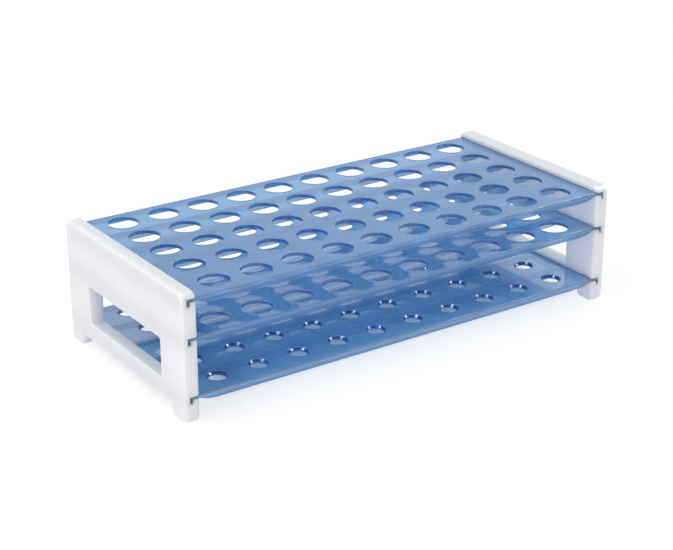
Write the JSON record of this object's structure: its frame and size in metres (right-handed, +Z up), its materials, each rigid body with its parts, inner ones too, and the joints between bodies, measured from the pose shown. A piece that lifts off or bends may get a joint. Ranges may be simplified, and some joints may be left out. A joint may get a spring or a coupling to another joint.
{
  "type": "microcentrifuge tube rack",
  "caption": "Bench rack for small tubes: perforated shelves hook into grooves in two windowed end frames, over a lowest shelf of tapered seats.",
  "frame": {"origin": "middle of the footprint, on the surface the feet stand on", "axes": "+X along the long side towards the right end frame, +Y from front to back, +Z up"},
  "size_m": [0.179, 0.081, 0.0452],
  "materials": {
    "frame_plastic": "satin moulded polypropylene, white and slightly translucent",
    "shelf_plastic": "glossy moulded plastic, see-through blue"
  },
  "bodies": {
    "root": {"left_end_frame": "frame_plastic", "right_end_frame": "frame_plastic", "top_shelf": "shelf_plastic", "middle_shelf": "shelf_plastic", "bottom_shelf": "shelf_plastic"}
  },
  "joints": []
}
